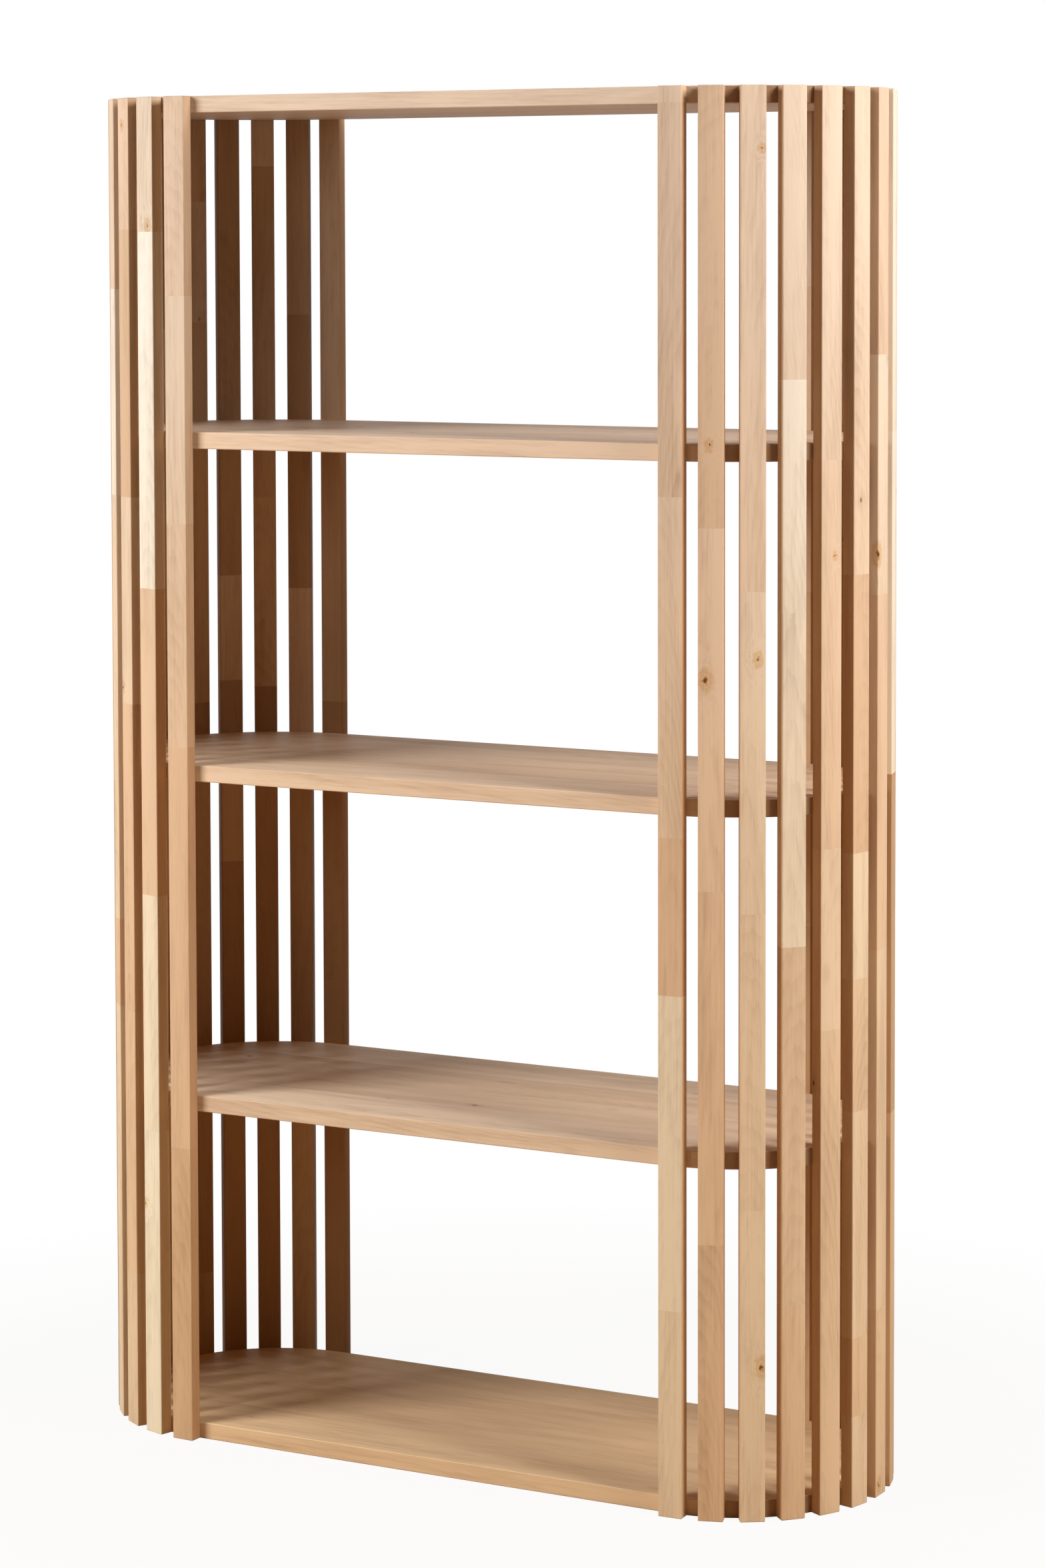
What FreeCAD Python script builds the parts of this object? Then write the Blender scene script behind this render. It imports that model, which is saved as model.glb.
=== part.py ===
import FreeCAD, Part
import Sketcher
import math
import os

# A floor-standing oak bookcase with half-round slatted ends.
# Millimetres. X runs along the shelves, Y points to the back and Z is up.
# The origin is on the floor, below the middle of the shelves.

V = FreeCAD.Vector
UP = V(0, 0, 1)
doc = FreeCAD.newDocument("SlattedBookcase")

# Driving dimensions
DIMENSIONS = {
    "total_height": 1800.0,      # floor to the top of the slats
    "centre_distance": 705.0,    # between the centres of the two round ends
    "seat_radius": 192.0,        # round end's centre to the back of a slat
    "board_count": 5,            # shelves, the top and the bottom one included
    "board_thickness": 22.0,
    "board_edge_chamfer": 1.0,   # easing along a shelf's edge
    "slat_count": 13,            # round each end
    "slat_span": 174.0,          # degrees, first slat to last slat of one end
    "slat_width": 32.0,
    "slat_thickness": 18.0,
    "slat_edge_chamfer": 1.0,    # easing of a slat's long edges
    "slat_web": 7.0,             # wood left in front of a slat's mortise
    "tenon_width": 16.0,         # a loose tenon's size along the shelf's edge
    "tenon_height": 6.0,
    "tenon_fit": 0.1,            # room round a tenon in its mortise
    "tenon_end_gap": 1.0,        # glue room at each end of a tenon
    "board_mortise_depth": 19.0,
}

sheet = doc.addObject("Spreadsheet::Sheet", "Sizes")
for row, (alias, value) in enumerate(DIMENSIONS.items(), start=1):
    sheet.set("A%d" % row, alias)
    sheet.set("B%d" % row, str(value))
    sheet.setAlias("B%d" % row, alias)
doc.recompute()

# Sizes that follow from the driving ones. A shelf's round end is as wide as the outer corners of
# the flats milled into it, so that every slat seats on a flat of its own width.
BOARD_PITCH = "(Sizes.total_height - Sizes.board_thickness) / (Sizes.board_count - 1)"
BOARD_RADIUS = "hypot(Sizes.seat_radius; Sizes.slat_width / 2)"
SLAT_STEP = "Sizes.slat_span / (Sizes.slat_count - 1)"
SLAT_MORTISE_DEPTH = "(Sizes.slat_thickness - Sizes.slat_web)"
MORTISE_WIDTH = "Sizes.tenon_width + 2 * Sizes.tenon_fit"
MORTISE_HEIGHT = "Sizes.tenon_height + 2 * Sizes.tenon_fit"
BOARD_MORTISE_START = "Sizes.seat_radius - Sizes.board_mortise_depth"
TENON_START = BOARD_MORTISE_START + " + Sizes.tenon_end_gap"
TENON_LENGTH = "Sizes.board_mortise_depth + %s - 2 * Sizes.tenon_end_gap" % SLAT_MORTISE_DEPTH
HALF_BOARD = "Sizes.board_thickness / 2"

# Each round end: the side that it is on, and the direction in degrees that its middle slat faces.
ENDS = {"right": (1, 0), "left": (-1, 180)}
BOARD_NAMES = ["bottom", "lower", "middle", "upper", "top"]


def slat_direction(end, number):
    """Expression for the direction that a slat faces, numbered from 0 round its end."""
    return "%d - Sizes.slat_span / 2 + %d * %s" % (ENDS[end][1], number, SLAT_STEP)


def end_centre(end):
    """Expression for the X of a round end's centre."""
    return "%d * Sizes.centre_distance / 2" % ENDS[end][0]


def new_body(label):
    body = doc.addObject("PartDesign::Body", label)
    body.Label = label
    return body


def new_sketch(body, name, height="0"):
    """A sketch on the body's ground plane, raised to the given height."""
    plane = next(feature for feature in body.Origin.OriginFeatures if feature.Role == "XY_Plane")
    sketch = body.newObject("Sketcher::SketchObject", body.Label + "_" + name)
    sketch.AttachmentSupport = [(plane, "")]
    sketch.MapMode = "FlatFace"
    sketch.AttachmentOffset = FreeCAD.Placement(V(0, 0, 0), FreeCAD.Rotation(UP, 1))
    sketch.setExpression("AttachmentOffset.Base.z", height)
    sketch.setExpression("AttachmentOffset.Rotation.Angle", "0")
    return sketch


def aim_at_first_slat(sketch, end):
    """Puts a sketch's origin on a round end's centre and its X axis through the first slat."""
    sketch.setExpression("AttachmentOffset.Base.x", end_centre(end))
    sketch.setExpression("AttachmentOffset.Rotation.Angle", slat_direction(end, 0))


def constrain(sketch, *constraint, size=None):
    """Adds a constraint and, for a dimension, the expression that sets it."""
    index = sketch.addConstraint(Sketcher.Constraint(*constraint))
    if size:
        sketch.setExpression("Constraints[%d]" % index, size)


def draw_rectangle(sketch, start, length, width):
    """A rectangle lying across the sketch's X axis, its sizes given as expressions."""
    corners = [V(10, -5, 0), V(20, -5, 0), V(20, 5, 0), V(10, 5, 0)]
    for corner, following in zip(corners, corners[1:] + corners[:1]):
        sketch.addGeometry(Part.LineSegment(corner, following), False)
    for side in range(4):
        constrain(sketch, "Coincident", side, 2, (side + 1) % 4, 1)
    for side, direction in enumerate(["Horizontal", "Vertical", "Horizontal"]):
        constrain(sketch, direction, side)
    constrain(sketch, "Symmetric", 0, 1, 3, 1, -1)
    constrain(sketch, "DistanceX", 0, 1, 0, 2, 10.0, size=length)
    constrain(sketch, "DistanceY", 1, 1, 1, 2, 10.0, size=width)
    constrain(sketch, "DistanceX", -1, 1, 0, 1, 10.0, size=start)


def draw_stadium(sketch):
    """A shelf's outline: two straight edges joined by two half rounds."""
    half_length = 300
    radius = 150
    quarter = math.pi / 2
    sketch.addGeometry([
        Part.LineSegment(V(-half_length, -radius, 0), V(half_length, -radius, 0)),
        Part.ArcOfCircle(Part.Circle(V(half_length, 0, 0), UP, radius), -quarter, quarter),
        Part.LineSegment(V(half_length, radius, 0), V(-half_length, radius, 0)),
        Part.ArcOfCircle(Part.Circle(V(-half_length, 0, 0), UP, radius), quarter, 3 * quarter),
    ], False)
    for piece in range(4):
        constrain(sketch, "Tangent", piece, 2, (piece + 1) % 4, 1)
    constrain(sketch, "Equal", 1, 3)
    constrain(sketch, "PointOnObject", 1, 3, -1)
    constrain(sketch, "Symmetric", 3, 3, 1, 3, -1, 1)
    constrain(sketch, "DistanceX", 3, 3, 1, 3, 2.0 * half_length, size="Sizes.centre_distance")
    constrain(sketch, "Radius", 1, float(radius), size=BOARD_RADIUS)


def extrude(body, kind, sketch, length, side="One side"):
    """A Pad or a Pocket of a sketch, on one side of it or half on each side."""
    feature = body.newObject("PartDesign::" + kind, sketch.Label + "_" + kind.lower())
    feature.Profile = sketch
    feature.SideType = side
    feature.setExpression("Length", length)
    sketch.Visibility = False
    return feature


def chamfer_edges(body, base, size, wanted):
    """A chamfer along the edges of the base feature that the test picks."""
    doc.recompute()
    edges = enumerate(base.Shape.Edges, start=1)
    chamfer = body.newObject("PartDesign::Chamfer", base.Label + "_chamfer")
    chamfer.Base = (base, ["Edge%d" % number for number, edge in edges if wanted(edge)])
    chamfer.setExpression("Size", size)
    body.Tip = chamfer


def is_level(edge):
    return edge.BoundBox.ZLength < edge.BoundBox.XLength + edge.BoundBox.YLength


def is_upright(edge):
    return not is_level(edge)


def repeat_round_end(body, features, sketch):
    """Repeats features at every slat of one round end, about that end's centre."""
    pattern = body.newObject("PartDesign::PolarPattern", sketch.Label + "_pattern")
    pattern.Originals = features
    pattern.Axis = (sketch, ["N_Axis"])
    pattern.setExpression("Angle", "Sizes.slat_span")
    pattern.setExpression("Occurrences", "Sizes.slat_count")
    body.Tip = pattern


def lift_to_level(body, level):
    """Raises a shelf's piece to its place in the stack, counted from 0 at the floor."""
    body.setExpression("Placement.Base.z", "%d * %s" % (level, BOARD_PITCH))


def make_shelf(label, level):
    """An edge-glued oak board with a flat and a mortise milled for every slat."""
    body = new_body(label)
    outline = new_sketch(body, "outline")
    draw_stadium(outline)
    board = extrude(body, "Pad", outline, "Sizes.board_thickness")
    chamfer_edges(body, board, "Sizes.board_edge_chamfer", is_level)
    for end in ENDS:
        flat = new_sketch(body, end + "_flat", HALF_BOARD)
        aim_at_first_slat(flat, end)
        draw_rectangle(flat, "Sizes.seat_radius", "Sizes.slat_thickness", "Sizes.slat_width")
        flat_cut = extrude(body, "Pocket", flat, "2 * Sizes.board_thickness", "Symmetric")
        mortise = new_sketch(body, end + "_mortise", HALF_BOARD)
        aim_at_first_slat(mortise, end)
        depth = "Sizes.board_mortise_depth + Sizes.slat_thickness"
        draw_rectangle(mortise, BOARD_MORTISE_START, depth, MORTISE_WIDTH)
        mortise_cut = extrude(body, "Pocket", mortise, MORTISE_HEIGHT, "Symmetric")
        repeat_round_end(body, [flat_cut, mortise_cut], flat)
    lift_to_level(body, level)
    return body


def make_tenons(label, level):
    """The loose beech tenons that hold the slats to one shelf, each a solid of its own."""
    body = new_body(label)
    body.AllowCompound = True
    for end in ENDS:
        tenon = new_sketch(body, end, HALF_BOARD)
        aim_at_first_slat(tenon, end)
        draw_rectangle(tenon, TENON_START, TENON_LENGTH, "Sizes.tenon_width")
        block = extrude(body, "Pad", tenon, "Sizes.tenon_height", "Symmetric")
        repeat_round_end(body, [block], tenon)
    lift_to_level(body, level)
    return body


def make_slat(label, end, number):
    """An oak slat with eased edges and a mortise in its back at every shelf."""
    body = new_body(label)
    section = new_sketch(body, "section")
    draw_rectangle(section, "0", "Sizes.slat_thickness", "Sizes.slat_width")
    bar = extrude(body, "Pad", section, "Sizes.total_height")
    chamfer_edges(body, bar, "Sizes.slat_edge_chamfer", is_upright)
    mortise = new_sketch(body, "mortise", HALF_BOARD)
    draw_rectangle(mortise, "-Sizes.slat_web", "Sizes.slat_thickness", MORTISE_WIDTH)
    mortise_cut = extrude(body, "Pocket", mortise, MORTISE_HEIGHT, "Symmetric")
    pattern = body.newObject("PartDesign::LinearPattern", label + "_mortises")
    pattern.Originals = [mortise_cut]
    pattern.Direction = (section, ["N_Axis"])
    pattern.setExpression("Length", "Sizes.total_height - Sizes.board_thickness")
    pattern.setExpression("Occurrences", "Sizes.board_count")
    body.Tip = pattern
    direction = slat_direction(end, number)
    body.Placement = FreeCAD.Placement(V(0, 0, 0), FreeCAD.Rotation(UP, 1))
    body.setExpression("Placement.Rotation.Angle", direction)
    centre = end_centre(end)
    body.setExpression("Placement.Base.x", "%s + Sizes.seat_radius * cos(%s)" % (centre, direction))
    body.setExpression("Placement.Base.y", "Sizes.seat_radius * sin(%s)" % direction)
    return body


parts = []
for level in range(int(sheet.get("board_count"))):
    parts.append(make_shelf(BOARD_NAMES[level] + "_shelf", level))
    parts.append(make_tenons(BOARD_NAMES[level] + "_shelf_tenons", level))
for end in ENDS:
    for number in range(int(sheet.get("slat_count"))):
        parts.append(make_slat("%s_slat_%02d" % (end, number + 1), end, number))
doc.recompute()

for item in doc.Objects:
    if "Invalid" in item.State or "Error" in item.State:
        raise RuntimeError("%s failed: %s" % (item.Label, item.State))
for part in parts:
    if part.Shape.isNull() or not part.Shape.isValid():
        raise RuntimeError("%s has no valid shape" % part.Label)

os.makedirs("parts", exist_ok=True)
for part in parts:
    part.Shape.exportStep("parts/%s.step" % part.Label)
    print("%s: %d solids, %.1f cm3" % (part.Label, len(part.Shape.Solids), part.Shape.Volume / 1000))
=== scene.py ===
import math
import random

import bpy
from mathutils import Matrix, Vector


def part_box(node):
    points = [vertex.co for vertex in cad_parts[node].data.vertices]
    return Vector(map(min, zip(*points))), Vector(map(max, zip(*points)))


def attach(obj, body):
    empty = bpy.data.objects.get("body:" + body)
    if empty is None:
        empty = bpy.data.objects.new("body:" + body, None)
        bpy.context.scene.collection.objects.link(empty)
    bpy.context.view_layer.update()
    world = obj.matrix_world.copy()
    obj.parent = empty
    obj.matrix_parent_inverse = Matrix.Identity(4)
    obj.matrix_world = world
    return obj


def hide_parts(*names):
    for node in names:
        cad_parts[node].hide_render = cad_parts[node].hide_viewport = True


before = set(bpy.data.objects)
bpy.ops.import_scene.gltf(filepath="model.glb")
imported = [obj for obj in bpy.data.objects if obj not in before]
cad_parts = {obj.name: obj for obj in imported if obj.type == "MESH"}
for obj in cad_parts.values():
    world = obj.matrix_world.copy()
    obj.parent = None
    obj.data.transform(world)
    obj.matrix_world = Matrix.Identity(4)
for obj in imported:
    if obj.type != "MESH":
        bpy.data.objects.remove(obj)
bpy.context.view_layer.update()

# Slats
# Each slat is a planed oak bar, glued up end to end from short staves whose tone changes at every
# joint. Its long edges are rounded over, its ends are chamfered, and it is tenoned to every shelf.

SLATS_PER_END = 13
MIDDLE_SLAT = 7
EDGE_ROUND = 0.0012
END_CHAMFER = 0.0004
SMOOTH_ANGLE = math.radians(40)
SHORTEST_STAVE = 0.22
LONGEST_STAVE = 0.62
SHORTEST_OFFCUT = 0.06
PALEST_TONE = 0.1
DARKEST_TONE = 0.95
COMMON_TONE = 0.5

# Staves of the slats whose joints are known: height of each stave's lower end in metres, and its tone
# from 0, cream, to 1, brown. The staves of the other slats are drawn at random.
SEEN_STAVES = {
    "right_slat_01": [(0, 0.26), (0.264, 0.2), (0.664, 0.54), (0.863, 0.4), (1.29, 0.45), (1.779, 0.42)],
    "right_slat_02": [(0, 0.53), (0.352, 0.52), (0.798, 0.46), (1.252, 0.64)],
    "right_slat_03": [(0, 0.33), (0.396, 0.38), (0.77, 0.34), (1.173, 0.43)],
    "right_slat_04": [(0, 0.47), (0.274, 0.42), (0.727, 0.18), (1.146, 0.16), (1.436, 0.38)],
    "right_slat_05": [(0, 0.44), (0.618, 0.38), (0.847, 0.46), (1.335, 0.4)],
    "right_slat_06": [(0, 0.38), (0.117, 0.48), (0.218, 0.38), (0.508, 0.44), (0.677, 0.3), (0.837, 0.58),
                      (1.189, 0.42)],
    "right_slat_07": [(0, 0.46), (0.244, 0.4), (0.707, 0.48), (1.16, 0.34), (1.464, 0.52)],
    "right_slat_08": [(0, 0.68), (0.488, 0.85), (0.926, 0.1), (1.365, 0.2)],
    "left_slat_13": [(0, 0.6), (0.396, 0.5), (0.936, 0.43), (1.234, 0.36), (1.536, 0.44)],
    "left_slat_12": [(0, 0.0), (0.413, 0.1), (0.732, 0.44), (1.145, 0.0), (1.621, 0.26)],
    "left_slat_11": [(0, 0.37), (0.209, 0.48), (0.568, 0.49), (0.986, 0.34), (1.265, 0.68), (1.624, 0.48)],
    "left_slat_10": [(0, 0.27), (0.568, 0.5), (0.687, 0.32), (1.265, 0.1), (1.544, 0.4)],
    # The inner slats at the back of the left end get dark tones: partly their own brown wood, partly
    # painted shade for the dim inside of the bookcase.
    "left_slat_05": [(0, 0.95), (0.139, 1.0), (0.408, 0.9), (0.956, 0.74), (1.494, 0.4), (1.663, 0.7)],
    "left_slat_04": [(0, 1.0), (0.727, 0.88), (0.986, 0.45), (1.135, 0.85), (1.624, 0.86)],
    "left_slat_03": [(0, 1.0), (0.428, 1.0), (0.976, 0.72), (1.245, 0.8), (1.713, 0.45)],
    "left_slat_02": [(0, 0.85), (0.458, 0.95), (0.906, 0.65), (1.116, 0.95), (1.504, 0.85)],
    "left_slat_01": [(0, 1.0), (0.558, 1.0), (0.956, 0.9), (1.345, 0.65)],
}

# Knots in the outer faces of these slats, at most one in a stave: height, place across the face, and
# reach of the stain round the knot. A stave without one has its knot far below its lower end.
SEEN_KNOTS = {
    "right_slat_02": [(1.063, -0.007, 0.011), (1.355, -0.002, 0.007)],
    "right_slat_03": [(0.197, 0.011, 0.011), (1.089, 0.006, 0.008), (1.722, 0.011, 0.005)],
    "right_slat_05": [(1.215, 0.005, 0.005)],
    "right_slat_07": [(0.015, -0.007, 0.008), (1.211, -0.014, 0.012)],
    "left_slat_11": [(1.008, -0.012, 0.007), (1.763, -0.004, 0.007)],
    "left_slat_12": [(0.312, -0.014, 0.006), (1.629, 0.007, 0.008)],
}
NO_KNOT = ((0, 0, -1), 0.01)


def stave_ends(name, height):
    """Lower end and tone of each stave of a slat, as known, or drawn at random where they aren't."""
    if name in SEEN_STAVES:
        return SEEN_STAVES[name]
    chance = random.Random(name)
    staves = []
    low = -chance.uniform(0, SHORTEST_STAVE)
    while low < height - SHORTEST_OFFCUT:
        staves.append((max(low, 0), chance.triangular(PALEST_TONE, DARKEST_TONE, COMMON_TONE)))
        low += chance.uniform(SHORTEST_STAVE, LONGEST_STAVE)
    return staves


def stave_at(staves, height):
    """Number of the stave at a height."""
    return max(sum(1 for low, tone in staves if height > low) - 1, 0)


def knots_in(staves, seen, thickness):
    """Place in each stave of its knot, and the knot's reach."""
    knots = [NO_KNOT] * len(staves)
    for height, across, reach in seen:
        index = stave_at(staves, height)
        knots[index] = ((thickness / 2, across, height - staves[index][0]), reach)
    return knots


def node_centre(node):
    """Middle of a CAD node's box."""
    low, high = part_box(node)
    return (low + high) / 2


def select_edges(mesh, wanted):
    """Selects the edges whose two ends pass the test, in object mode, ready for edit mode."""
    for vertex in mesh.vertices:
        vertex.select = False
    for face in mesh.polygons:
        face.select = False
    for edge in mesh.edges:
        first, second = (mesh.vertices[index].co for index in edge.vertices)
        edge.select = wanted(first, second)


def model_slat(thickness, width, height):
    """One bar standing on the origin, its outer face towards +X."""
    bpy.ops.object.select_all(action="DESELECT")
    bpy.ops.mesh.primitive_cube_add(size=1, location=(0, 0, height / 2), scale=(thickness, width, height))
    bpy.ops.object.transform_apply(location=True, rotation=True, scale=True)
    bar = bpy.context.object
    select_edges(bar.data, lambda a, b: abs(a.z - b.z) > height / 2)
    bpy.ops.object.mode_set(mode="EDIT")
    bpy.ops.mesh.select_mode(type="EDGE")
    bpy.ops.mesh.bevel(offset=EDGE_ROUND, segments=3, affect="EDGES")
    bpy.ops.object.mode_set(mode="OBJECT")
    select_edges(bar.data, lambda a, b: abs(a.z - b.z) < END_CHAMFER)
    bpy.ops.object.mode_set(mode="EDIT")
    bpy.ops.mesh.bevel(offset=END_CHAMFER, segments=1, affect="EDGES")
    bpy.ops.object.mode_set(mode="OBJECT")
    return bar


def mark_staves(slat, staves, knots):
    """Cuts the slat's faces at the joints and stores, for the material, where each corner lies in its
    stave, that stave's tone, knot and random draw, and how far a face is turned to a narrow side, where
    shade is painted."""
    bpy.ops.object.select_all(action="DESELECT")
    slat.select_set(True)
    bpy.context.view_layer.objects.active = slat
    bpy.ops.object.mode_set(mode="EDIT")
    for low, tone in staves[1:]:
        bpy.ops.mesh.select_all(action="SELECT")
        bpy.ops.mesh.bisect(plane_co=(0, 0, low), plane_no=(0, 0, 1))
    bpy.ops.object.mode_set(mode="OBJECT")
    mesh = slat.data
    mesh.attributes.new("plank", "FLOAT_VECTOR", "CORNER")
    mesh.attributes.new("stave_knot", "FLOAT_VECTOR", "FACE")
    for attribute in ("stave_tone", "stave_draw", "knot_reach", "side_share"):
        mesh.attributes.new(attribute, "FLOAT", "FACE")
    places = mesh.attributes["plank"].data
    knot_places = mesh.attributes["stave_knot"].data
    tones = mesh.attributes["stave_tone"].data
    stave_draws = mesh.attributes["stave_draw"].data
    reaches = mesh.attributes["knot_reach"].data
    painted_side_shades = mesh.attributes["side_share"].data
    chance = random.Random(slat.name)
    draws = [chance.random() for stave in staves]
    for face in mesh.polygons:
        index = stave_at(staves, face.center.z)
        low, tone = staves[index]
        tones[face.index].value = tone
        stave_draws[face.index].value = draws[index]
        knot, reach = knots[index]
        knot_places[face.index].vector = knot
        reaches[face.index].value = reach
        painted_side_shades[face.index].value = face.normal.y ** 2
        for corner in face.loop_indices:
            x, y, z = mesh.vertices[mesh.loops[corner].vertex_index].co
            places[corner].vector = (x, y, z - low)


low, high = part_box("right_slat_%02d" % MIDDLE_SLAT)
slat_thickness, slat_width, slat_height = high - low
bar = model_slat(slat_thickness, slat_width, slat_height)
slats = []
for end in ("right", "left"):
    middle = node_centre("%s_slat_%02d" % (end, MIDDLE_SLAT))
    first = node_centre("%s_slat_01" % end)
    round_centre = (first.x ** 2 + first.y ** 2 - middle.x ** 2) / (2 * (first.x - middle.x))
    for number in range(1, SLATS_PER_END + 1):
        name = "%s_slat_%02d" % (end, number)
        slat = bar.copy()
        slat.data = bar.data.copy()
        slat.name = name + "_staves"
        bpy.context.collection.objects.link(slat)
        staves = stave_ends(name, slat_height)
        mark_staves(slat, staves, knots_in(staves, SEEN_KNOTS.get(name, []), slat_thickness))
        place = node_centre(name)
        slat.location = (place.x, place.y, 0)
        slat.rotation_euler.z = math.atan2(place.y, place.x - round_centre)
        bpy.ops.object.transform_apply(location=True, rotation=True, scale=True)
        bpy.ops.object.shade_smooth_by_angle(angle=SMOOTH_ANGLE)
        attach(slat, "root")
        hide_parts(name)
        slats.append(slat)
bpy.data.objects.remove(bar)


def linear(hex_colour):
    """A linear RGBA colour from an sRGB hex value."""
    channels = [int(hex_colour[i:i + 2], 16) / 255 for i in (1, 3, 5)]
    return [c / 12.92 if c <= 0.04045 else ((c + 0.055) / 1.055) ** 2.4 for c in channels] + [1]


def new_material(name):
    """An empty material with nodes."""
    material = bpy.data.materials.new(name)
    material.use_nodes = True
    return material


def dress(piece, material):
    """Gives a piece this one material."""
    piece.data.materials.clear()
    piece.data.materials.append(material)


def add_node(material, kind, inputs=None, **settings):
    """A shader node with its settings, its inputs given as values or as sockets to link."""
    node = material.node_tree.nodes.new("ShaderNode" + kind)
    for setting, value in settings.items():
        setattr(node, setting, value)
    for socket, value in (inputs or {}).items():
        if isinstance(value, bpy.types.NodeSocket):
            material.node_tree.links.new(value, node.inputs[socket])
        else:
            node.inputs[socket].default_value = value
    return node


def fill_ramp(node, stops):
    """Sets a colour ramp's stops from pairs of position and hex colour."""
    elements = node.color_ramp.elements
    while len(elements) < len(stops):
        elements.new(1)
    for element, (position, colour) in zip(elements, stops):
        element.position = position
        element.color = linear(colour)
    return node.outputs["Color"]


# Marks in the wood, in millimetres across and along the grain, and the part of the log that the boards
# come from, in metres deep, across and along it.
STREAK_SIZE = (2.381, 166.7)
FLECK_SIZE = (1.111, 25)
CLOUD_SIZE = (35.71, 333.3)
PIN_SPACING = (83.33, 142.86)
RING_SPACING = 3.1416
SLOW_ALONG = 0.15
LOG_REACH = (0.3, 0.3, 5.0)
DARK_WOOD = "#7d4f2a"

# A wave texture of scale 1 has its rings this many millimetres apart.
WAVE_SPACING = 1000 * math.pi / 10


def pattern_scale(across, along):
    """Scale for a pattern whose marks have this size, in millimetres across and along the grain."""
    return (1000 / across, 1000 / across, 1000 / along)


def oak(material, plank, draw, tone):
    """Oiled oak over a tone: plank gives the place in a board as deep, across and along the grain in
    metres, and draw a random number for the place in the log that the board was cut from."""
    log = add_node(material, "TexWhiteNoise", {"W": draw}, noise_dimensions="1D")
    chances = add_node(material, "SeparateColor", {0: log.outputs["Color"]})
    away = add_node(material, "VectorMath", {0: log.outputs["Color"], 1: LOG_REACH}, operation="MULTIPLY")
    wood = add_node(material, "VectorMath", {0: plank, 1: away.outputs[0]}, operation="ADD")

    # Streaks of pores, drawn about 2 mm wide because single pores are too fine to show, short dark
    # flecks, and a slow drift of tone.
    grain = add_node(material, "Mapping", {"Vector": wood.outputs[0],
                                           "Scale": pattern_scale(*STREAK_SIZE)})
    streaks = add_node(material, "TexNoise", {"Vector": grain.outputs[0], "Scale": 1.0,
                                              "Detail": 3.0, "Roughness": 0.6})
    dashes = add_node(material, "Mapping", {"Vector": wood.outputs[0],
                                            "Scale": pattern_scale(*FLECK_SIZE)})
    flecks = add_node(material, "TexNoise", {"Vector": dashes.outputs[0], "Scale": 1.0, "Detail": 2.0})
    cloud = add_node(material, "Mapping", {"Vector": wood.outputs[0],
                                           "Scale": pattern_scale(*CLOUD_SIZE)})
    drift = add_node(material, "TexNoise", {"Vector": cloud.outputs[0], "Scale": 1.0,
                                            "Detail": 4.0, "Roughness": 0.65})
    pores = add_node(material, "MapRange", {"Value": streaks.outputs["Fac"],
                                            "From Min": 0.4, "From Max": 0.75, "To Max": 0.14})
    dots = add_node(material, "MapRange", {"Value": flecks.outputs["Fac"],
                                           "From Min": 0.55, "From Max": 0.8, "To Max": 0.12})
    shade = add_node(material, "MapRange", {"Value": drift.outputs["Fac"], "From Min": 0.3, "From Max": 0.7,
                                            "To Min": -0.16, "To Max": 0.16})

    # Growth rings about 3 mm apart round the heart, which lies a few centimetres behind the board and
    # at a slant to it, so that the rings meet the face in arches or, to one side, in slow lines. They
    # wobble slowly along the grain and show in patches.
    place = add_node(material, "SeparateXYZ", {0: plank})
    slant = add_node(material, "MapRange", {"Value": chances.outputs[0], "To Min": 0.02, "To Max": 0.12})
    behind = add_node(material, "MapRange", {"Value": chances.outputs[1], "To Min": 0.02, "To Max": 0.06})
    aside = add_node(material, "MapRange", {"Value": chances.outputs[2], "To Min": -0.035, "To Max": 0.035})
    deep = add_node(material, "Math", {0: place.outputs[0], 1: behind.outputs[0]}, operation="ADD")
    slanted = add_node(material, "Math", {0: place.outputs[2], 1: slant.outputs[0], 2: deep.outputs[0]},
                       operation="MULTIPLY_ADD")
    across = add_node(material, "Math", {0: place.outputs[1], 1: aside.outputs[0]}, operation="ADD")
    along = add_node(material, "Math", {0: place.outputs[2], 1: SLOW_ALONG}, operation="MULTIPLY")
    in_log = add_node(material, "CombineXYZ", {0: slanted.outputs[0], 1: across.outputs[0],
                                               2: along.outputs[0]})
    rings = add_node(material, "TexWave", {"Vector": in_log.outputs[0],
                                           "Scale": WAVE_SPACING / RING_SPACING, "Distortion": 6.0,
                                           "Detail": 3.0, "Detail Scale": 0.6, "Detail Roughness": 0.6},
                     wave_type="RINGS", rings_direction="Z", wave_profile="SAW")
    band = add_node(material, "MapRange", {"Value": rings.outputs["Fac"], "From Min": 0.3},
                    interpolation_type="SMOOTHSTEP")
    figure = add_node(material, "MapRange", {"Value": drift.outputs["Fac"], "From Min": 0.4,
                                             "From Max": 0.7, "To Min": 0.015, "To Max": 0.12})
    late_wood = add_node(material, "Math", {0: band.outputs[0], 1: figure.outputs[0]}, operation="MULTIPLY")

    # Now and then a pin knot, 5 mm across, in a darker halo.
    pins = add_node(material, "Mapping", {"Vector": wood.outputs[0],
                                          "Scale": pattern_scale(*PIN_SPACING)})
    pin = add_node(material, "TexVoronoi", {"Vector": pins.outputs[0], "Scale": 1.0}, feature="F1")
    knot = add_node(material, "MapRange", {"Value": pin.outputs["Distance"], "From Min": 0.02,
                                           "From Max": 0.036, "To Min": 0.75, "To Max": 0.0})
    halo = add_node(material, "MapRange", {"Value": pin.outputs["Distance"], "From Min": 0.03,
                                           "From Max": 0.13, "To Min": 0.16, "To Max": 0.0})

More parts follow.
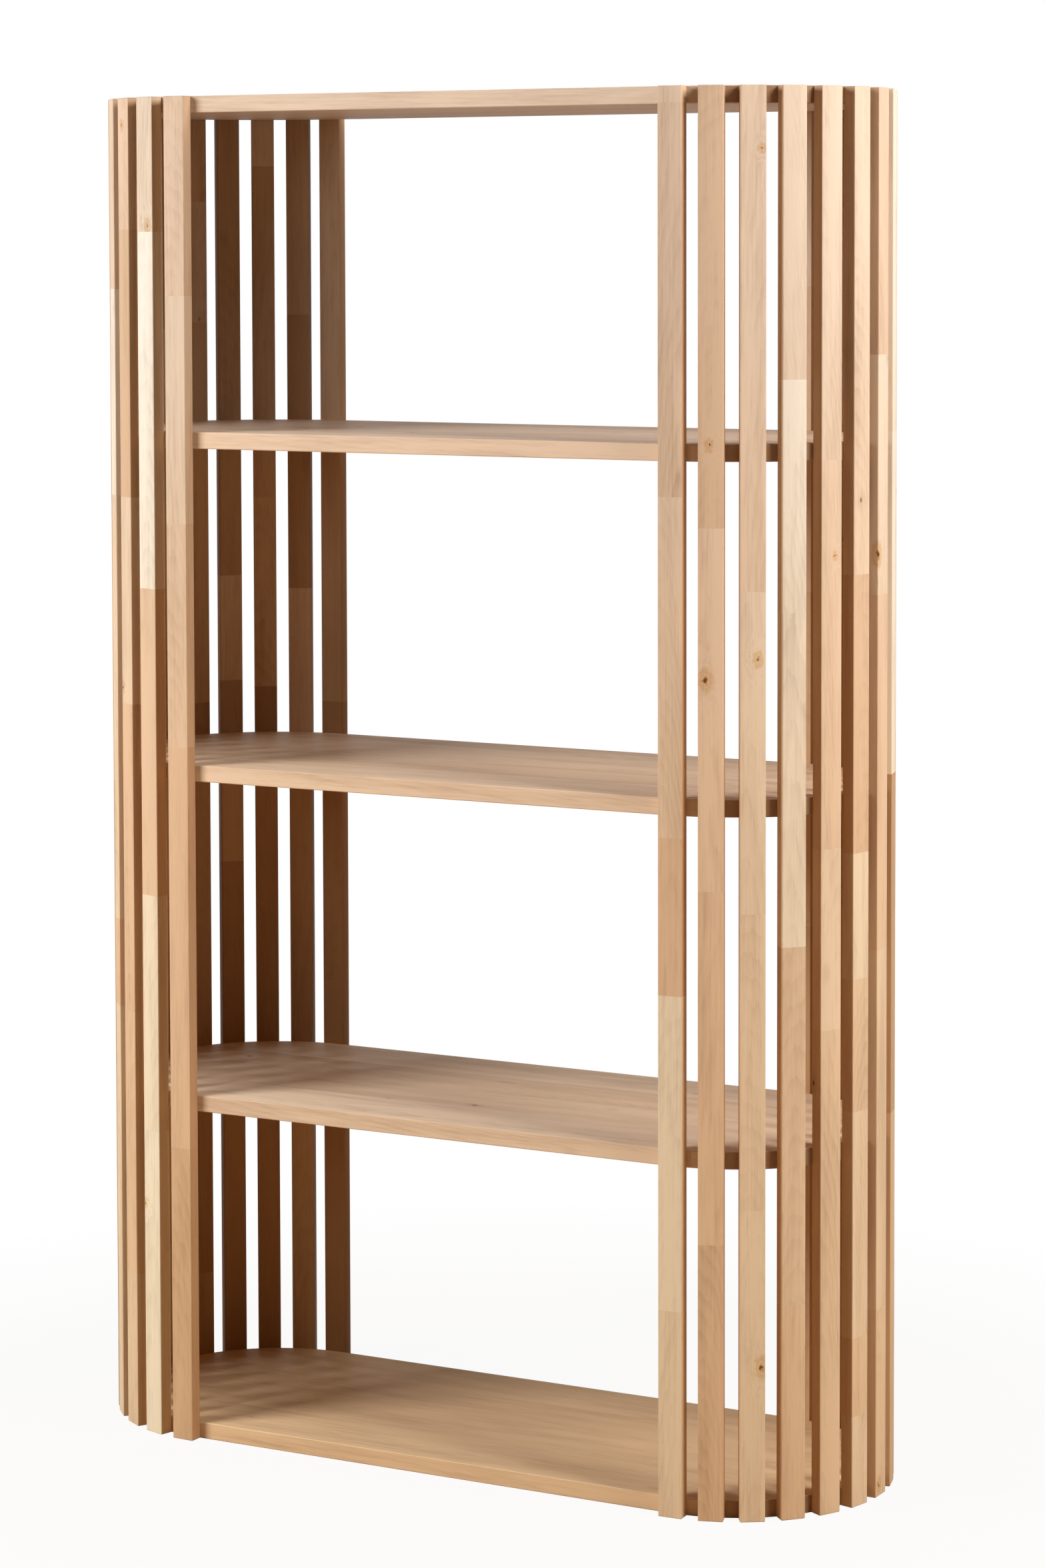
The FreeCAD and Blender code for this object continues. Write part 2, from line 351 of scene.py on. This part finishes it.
    dark = late_wood
    for layer in (pores, dots, shade, halo, knot):
        dark = add_node(material, "Math", {0: dark.outputs[0], 1: layer.outputs[0]}, operation="ADD")
    dark.use_clamp = True
    colour = add_node(material, "Mix", {"Factor": dark.outputs[0], 6: tone, 7: linear(DARK_WOOD)},
                      data_type="RGBA")
    rough = add_node(material, "MapRange", {"Value": streaks.outputs["Fac"],
                                            "To Min": 0.44, "To Max": 0.62})
    bump = add_node(material, "Bump", {"Height": pores.outputs[0], "Strength": 0.2, "Distance": 0.0005})
    bump.invert = True
    surface = material.node_tree.nodes["Principled BSDF"]
    surface.inputs["Specular IOR Level"].default_value = 0.05
    links = material.node_tree.links
    links.new(colour.outputs[2], surface.inputs["Base Color"])
    links.new(rough.outputs[0], surface.inputs["Roughness"])
    links.new(bump.outputs[0], surface.inputs["Normal"])


# Oak staves under matt oil: cream to brown from stave to stave, with fine straight pores and growth
# rings that arch where the cut runs through them and bend round a knot. The narrow sides are painted
# darker, as painted shade for the shadow in the gaps between slats. Towards the top the colour is
# painted a shade cooler and paler, as painted light for the whiter light and sheen that fall there.
STAVE_TONES = [(0.0, "#f3e4d3"), (0.25, "#e9d1b9"), (0.5, "#dfbb9e"), (0.75, "#d0aa88"), (1.0, "#a97f5b")]
TOP_LIGHT_TINTS = [(0.15, "#fefff0"), (0.5, "#fcfcf2"), (0.85, "#f5fcff")]
KNOT_TINTS = [(0.0, "#744a29"), (0.14, "#86593a"), (0.26, "#e6cfb1"), (0.4, "#f9f1e4"), (0.62, "#f1e3cd"),
              (1.0, "#ffffff")]
KNOT_CROOK = (0.003, 0.003, 0.003)
CROOK_SIZE = 6.25
KNOT_OVAL = (1.0, 1.0, 0.6)
GRAIN_SWELL = 0.008
SIDE_PAINTED_SHADE = "#eee1d3"
oiled_staves = new_material("matt_oiled_oak_staves")

# The stave's own tone, with painted light over it: a shade cooler and paler towards the top, where more
# light and sheen fall.
stave_place = add_node(oiled_staves, "Attribute", attribute_name="plank")
stave_draw = add_node(oiled_staves, "Attribute", attribute_name="stave_draw")
stave_tone = add_node(oiled_staves, "Attribute", attribute_name="stave_tone")
bare_tone = add_node(oiled_staves, "ValToRGB", {"Fac": stave_tone.outputs["Fac"]})
slat_place = add_node(oiled_staves, "TexCoord")
slat_axes = add_node(oiled_staves, "SeparateXYZ", {0: slat_place.outputs["Object"]})
# Painted light: the colour is tinted by height, cooler and paler towards the top.
height_share = add_node(oiled_staves, "Math", {0: slat_axes.outputs["Z"], 1: slat_height},
                        operation="DIVIDE")
top_light_tint = add_node(oiled_staves, "ValToRGB", {"Fac": height_share.outputs[0]})
lit_stave_tone = add_node(oiled_staves, "Mix", {"Factor": 1.0, 6: fill_ramp(bare_tone, STAVE_TONES),
                                            7: fill_ramp(top_light_tint, TOP_LIGHT_TINTS)},
                      data_type="RGBA", blend_type="MULTIPLY")

# The knot: a crooked oval with a dark heart and a stain, where the grain swells out of the face. Its
# outline bends every 6 mm or so.
stave_knot = add_node(oiled_staves, "Attribute", attribute_name="stave_knot")
knot_reach = add_node(oiled_staves, "Attribute", attribute_name="knot_reach")
crooked = add_node(oiled_staves, "TexNoise", {"Vector": stave_place.outputs["Vector"],
                                              "Scale": 1000 / CROOK_SIZE}, normalize=False)
bent_place = add_node(oiled_staves, "VectorMath", {0: crooked.outputs["Color"], 1: KNOT_CROOK,
                                                   2: stave_place.outputs["Vector"]},
                      operation="MULTIPLY_ADD")
beside_knot = add_node(oiled_staves, "VectorMath", {0: bent_place.outputs[0],
                                                    1: stave_knot.outputs["Vector"]}, operation="SUBTRACT")
oval = add_node(oiled_staves, "VectorMath", {0: beside_knot.outputs[0], 1: KNOT_OVAL}, operation="MULTIPLY")
from_knot = add_node(oiled_staves, "VectorMath", {0: oval.outputs[0]}, operation="LENGTH")
outwards = add_node(oiled_staves, "Math", {0: from_knot.outputs["Value"], 1: knot_reach.outputs["Fac"]},
                    operation="DIVIDE")
knot_tint = add_node(oiled_staves, "ValToRGB", {"Fac": outwards.outputs[0]})
knotty_tone = add_node(oiled_staves, "Mix", {"Factor": 1.0, 6: lit_stave_tone.outputs[2],
                                             7: fill_ramp(knot_tint, KNOT_TINTS)},
                       data_type="RGBA", blend_type="MULTIPLY")
swell = add_node(oiled_staves, "MapRange", {"Value": outwards.outputs[0], "From Max": 3.0,
                                            "To Min": GRAIN_SWELL, "To Max": 0.0},
                 interpolation_type="SMOOTHSTEP")
swelling = add_node(oiled_staves, "CombineXYZ", {0: swell.outputs[0]})
round_knot = add_node(oiled_staves, "VectorMath", {0: stave_place.outputs["Vector"],
                                                   1: swelling.outputs[0]}, operation="ADD")

# Painted shade: faces turned towards a narrow side are darkened, for the shadow in the gaps between slats.
side_share = add_node(oiled_staves, "Attribute", attribute_name="side_share")
side_shaded_tone = add_node(oiled_staves, "Mix", {"Factor": side_share.outputs["Fac"], 6: knotty_tone.outputs[2],
                                           7: linear(SIDE_PAINTED_SHADE)}, data_type="RGBA", blend_type="MULTIPLY")
oak(oiled_staves, round_knot.outputs[0], stave_draw.outputs["Fac"], side_shaded_tone.outputs[2])
for slat in slats:
    dress(slat, oiled_staves)

# Shelves
# Five boards of edge-glued oak strips that run from end to end, sanded and oiled like the slats.
# The round ends are cut from the same board, with a flat milled for each slat.

SHELVES = ["bottom_shelf", "lower_shelf", "middle_shelf", "upper_shelf", "top_shelf"]
STRIP_WIDTH = 0.095
shelf_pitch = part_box("lower_shelf")[0].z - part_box("bottom_shelf")[0].z

# Edge-glued oak under matt oil: boards of near tones from the bottom shelf to the top one, of strips
# with the grain along the shelf. The end grain in the round ends is dark, partly its own darker end grain
# and partly painted shade for the recesses between the slats.
BOARD_TONES = [(0.0, "#e7c59b"), (0.25, "#f4dbbf"), (0.5, "#f4dabe"), (0.75, "#f3dac2"), (1.0, "#e1cbb5")]
DARK_STRIP = "#cea981"
DARK_STRIP_SHARE = 0.45
END_GRAIN_AND_SHADE = "#8a6440"
END_GRAIN_AND_SHADE_SHARE = 0.8
SHELF_DRAW_STEP = 7.3
oiled_board = new_material("matt_oiled_oak_board")

# Which shelf, which strip of it, and the place in that strip.
board_place = add_node(oiled_board, "TexCoord")
axes = add_node(oiled_board, "SeparateXYZ", {0: board_place.outputs["Object"]})
levels = add_node(oiled_board, "Math", {0: axes.outputs["Z"], 1: shelf_pitch}, operation="DIVIDE")
level = add_node(oiled_board, "Math", {0: levels.outputs[0]}, operation="ROUND")
deep_in_board = add_node(oiled_board, "Math", {0: level.outputs[0], 1: -shelf_pitch, 2: axes.outputs["Z"]},
                         operation="MULTIPLY_ADD")
strips = add_node(oiled_board, "Math", {0: axes.outputs["Y"], 1: STRIP_WIDTH}, operation="DIVIDE")
strip = add_node(oiled_board, "Math", {0: strips.outputs[0]}, operation="FLOOR")
across_strip = add_node(oiled_board, "Math", {0: strip.outputs[0], 1: -STRIP_WIDTH, 2: axes.outputs["Y"]},
                        operation="MULTIPLY_ADD")
along_shelf = add_node(oiled_board, "CombineXYZ", {0: deep_in_board.outputs[0], 1: across_strip.outputs[0],
                                                   2: axes.outputs["X"]})
strip_draw = add_node(oiled_board, "Math", {0: level.outputs[0], 1: SHELF_DRAW_STEP, 2: strip.outputs[0]},
                      operation="MULTIPLY_ADD")

# The shelf's tone, darker by chance from strip to strip, and dark where the surface faces endways: end
# grain and painted shade in the recesses behind the slats.
strip_chance = add_node(oiled_board, "TexWhiteNoise", {"W": strip_draw.outputs[0]}, noise_dimensions="1D")
strip_share = add_node(oiled_board, "Math", {0: strip_chance.outputs["Value"], 1: DARK_STRIP_SHARE},
                       operation="MULTIPLY")
up_the_stack = add_node(oiled_board, "Math", {0: level.outputs[0], 1: len(SHELVES) - 1},
                        operation="DIVIDE")
board_tone = add_node(oiled_board, "ValToRGB", {"Fac": up_the_stack.outputs[0]})
strip_tone = add_node(oiled_board, "Mix", {"Factor": strip_share.outputs[0],
                                           6: fill_ramp(board_tone, BOARD_TONES),
                                           7: linear(DARK_STRIP)}, data_type="RGBA")
facing = add_node(oiled_board, "SeparateXYZ", {0: board_place.outputs["Normal"]})
endways = add_node(oiled_board, "Math", {0: facing.outputs["X"]}, operation="ABSOLUTE")
# Partly painted shade: the endways faces sit in the shadowed recesses behind the slats.
end_grain_and_shade = add_node(oiled_board, "MapRange", {"Value": endways.outputs[0], "From Min": 0.05,
                                               "From Max": 0.5, "To Max": END_GRAIN_AND_SHADE_SHARE},
                     interpolation_type="SMOOTHSTEP")
shaded_grain_tone = add_node(oiled_board, "Mix", {"Factor": end_grain_and_shade.outputs[0], 6: strip_tone.outputs[2],
                                           7: linear(END_GRAIN_AND_SHADE)}, data_type="RGBA")
oak(oiled_board, along_shelf.outputs[0], strip_draw.outputs[0], shaded_grain_tone.outputs[2])
for shelf in SHELVES:
    dress(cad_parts[shelf], oiled_board)

# Tenons
# Loose beech tenons, one where each slat crosses each shelf, glued into mortises in both. They are
# hidden in the wood, and their bare planed beech shows only when the pieces are taken apart.

# Planed beech: pink-brown and even, with flecks a millimetre or two long.
BEECH_TONES = [(0.35, "#d9b48c"), (0.65, "#c99f76")]
BEECH_FLECK_SIZE = (1.667, 0.6667)
planed_beech = new_material("planed_beech")
beech_place = add_node(planed_beech, "TexCoord")
beech_grain = add_node(planed_beech, "Mapping", {"Vector": beech_place.outputs["Object"],
                                                 "Scale": pattern_scale(*BEECH_FLECK_SIZE)})
beech_flecks = add_node(planed_beech, "TexNoise", {"Vector": beech_grain.outputs[0], "Scale": 1.0,
                                                   "Detail": 3.0})
beech_colour = add_node(planed_beech, "ValToRGB", {"Fac": beech_flecks.outputs["Fac"]})
beech_surface = planed_beech.node_tree.nodes["Principled BSDF"]
beech_surface.inputs["Roughness"].default_value = 0.6
planed_beech.node_tree.links.new(fill_ramp(beech_colour, BEECH_TONES), beech_surface.inputs["Base Color"])
for shelf in SHELVES:
    dress(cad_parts[shelf + "_tenons"], planed_beech)

# Floor and light
# A pale studio floor that the camera sees as white, with the bookcase's shadow near its foot, below
# two soft lamps: one high to the right, and one in front to the left.

FLOOR_SIZE = 60
FLOOR_PAINT = "#bd9d7c"
WHITE = "#ffffff"
SHADOW_REACH = 0.6
SHADOW_END = 1.5
WHITE_AT_FOOT = 0.94


def backdrop_rays(owner):
    """1 for the rays that see the backdrop, straight or in a reflection or through glass, else 0."""
    rays = add_node(owner, "LightPath")
    seen = add_node(owner, "Math", {0: rays.outputs["Is Camera Ray"], 1: rays.outputs["Is Glossy Ray"]},
                    operation="MAXIMUM")
    return add_node(owner, "Math", {0: seen.outputs[0], 1: rays.outputs["Is Transmission Ray"]},
                    operation="MAXIMUM").outputs[0]


bpy.ops.mesh.primitive_plane_add(size=FLOOR_SIZE, location=(0, 0, 0))
floor = bpy.context.object
floor.name = "studio_floor"
pale_floor = new_material("pale_studio_floor")
floor_paint = pale_floor.node_tree.nodes["Principled BSDF"]
floor_paint.inputs["Base Color"].default_value = linear(FLOOR_PAINT)
floor_paint.inputs["Roughness"].default_value = 0.9
floor_white = add_node(pale_floor, "Emission", {"Color": linear(WHITE), "Strength": 1.0})
floor_place = add_node(pale_floor, "TexCoord")
from_middle = add_node(pale_floor, "VectorMath", {0: floor_place.outputs["Object"]}, operation="LENGTH")
whiteness = add_node(pale_floor, "MapRange", {"Value": from_middle.outputs["Value"],
                                              "From Min": SHADOW_REACH, "From Max": SHADOW_END,
                                              "To Min": WHITE_AT_FOOT, "To Max": 1.0},
                     interpolation_type="SMOOTHSTEP")
floor_share = add_node(pale_floor, "Math", {0: backdrop_rays(pale_floor), 1: whiteness.outputs[0]},
                       operation="MULTIPLY")
floor_mix = add_node(pale_floor, "MixShader", {0: floor_share.outputs[0], 1: floor_paint.outputs[0],
                                               2: floor_white.outputs[0]})
floor_output = pale_floor.node_tree.nodes["Material Output"]
pale_floor.node_tree.links.new(floor_mix.outputs[0], floor_output.inputs[0])
dress(floor, pale_floor)

world = bpy.data.worlds.new("studio")
bpy.context.scene.world = world
world.use_nodes = True
background = world.node_tree.nodes["Background"]
background.inputs["Color"].default_value = linear(WHITE)
world.node_tree.links.new(backdrop_rays(world), background.inputs["Strength"])

# Each lamp: name, place, size and power. Both face the middle of the bookcase.
LAMP_TARGET = (0, 0, 0.9)
LAMPS = [
    ("right_softbox", (3.43, -0.36, 3.2), 1.6, 185),
    ("left_softbox", (-2.5, -3.0, 2.5), 1.6, 168),
]
for name, place, size, power in LAMPS:
    bpy.ops.object.light_add(type="AREA", location=place)
    lamp = bpy.context.object
    lamp.name = name
    lamp.data.size = size
    lamp.data.energy = power
    lamp.visible_camera = False
    aim_x, aim_y, aim_z = (target - own for target, own in zip(LAMP_TARGET, place))
    lamp.rotation_euler.x = math.atan2(math.hypot(aim_x, aim_y), -aim_z)
    lamp.rotation_euler.z = math.atan2(-aim_x, aim_y)
bpy.context.scene.view_settings.view_transform = "Standard"

# Camera
# The photograph's view: from the right, just below the top shelf, with upright edges kept nearly
# parallel by a lens that is moved down against the picture. Angles are in radians.

PHOTO_HEIGHT = 2353
FOCAL_PIXELS = 6125
CAMERA_PLACE = (2.5742, -4.767, 1.6182)
TILT_DOWN = 0.0581
LEAN = 0.0025
TURN = 0.4875
LENS_SHIFT = -0.2
bpy.ops.object.camera_add(location=CAMERA_PLACE, rotation=(math.pi / 2 - TILT_DOWN, LEAN, TURN))
camera = bpy.context.object
camera.data.sensor_width = 36
camera.data.lens = FOCAL_PIXELS / PHOTO_HEIGHT * camera.data.sensor_width
camera.data.shift_y = LENS_SHIFT
camera.data.dof.use_dof = False
bpy.context.scene.camera = camera
